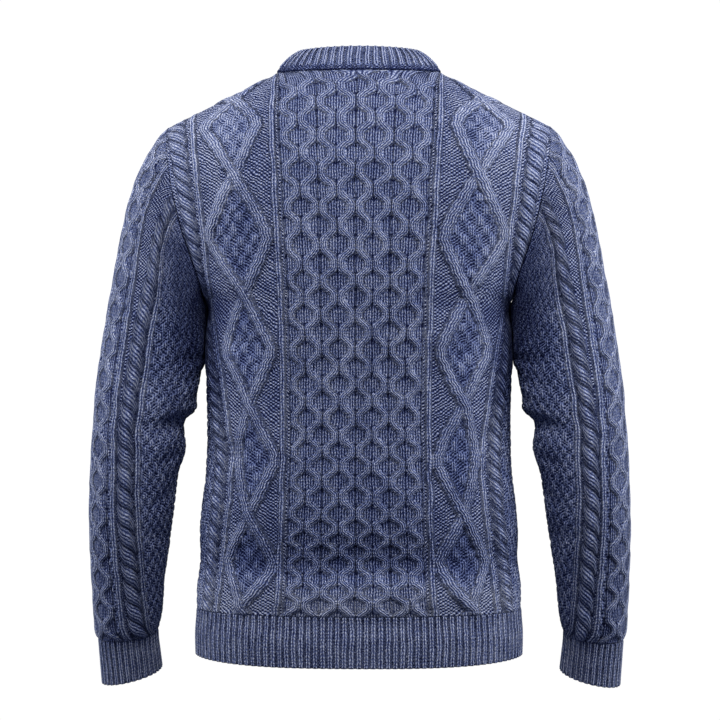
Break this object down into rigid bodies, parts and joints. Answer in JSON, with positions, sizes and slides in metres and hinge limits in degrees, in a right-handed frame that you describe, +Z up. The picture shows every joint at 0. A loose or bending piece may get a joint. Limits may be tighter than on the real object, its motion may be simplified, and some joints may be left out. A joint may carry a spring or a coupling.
{
  "type": "aran sweater",
  "caption": "Cable-knit crew-neck pullover, filled out as worn, with set-in sleeves and ribbed neckband, cuffs and hem.",
  "frame": {"origin": "middle of the neck opening, level with the high shoulder points, where the shoulders carry the garment", "axes": "+Z up, +Y towards the wearer's back, +X towards the wearer's left arm"},
  "size_m": [0.623, 0.2569, 0.7332],
  "materials": {
    "cable_knit": "marled blue wool in raised cables, dry and matt",
    "rib_knit": "marled blue wool in single rib, dry and matt"
  },
  "bodies": {
    "root": {"back": "cable_knit", "front": "cable_knit", "sleeve_left": "cable_knit", "sleeve_right": "cable_knit", "neckband": "rib_knit", "welt_back": "rib_knit", "welt_front": "rib_knit", "cuff_left": "rib_knit", "cuff_right": "rib_knit"}
  },
  "joints": []
}
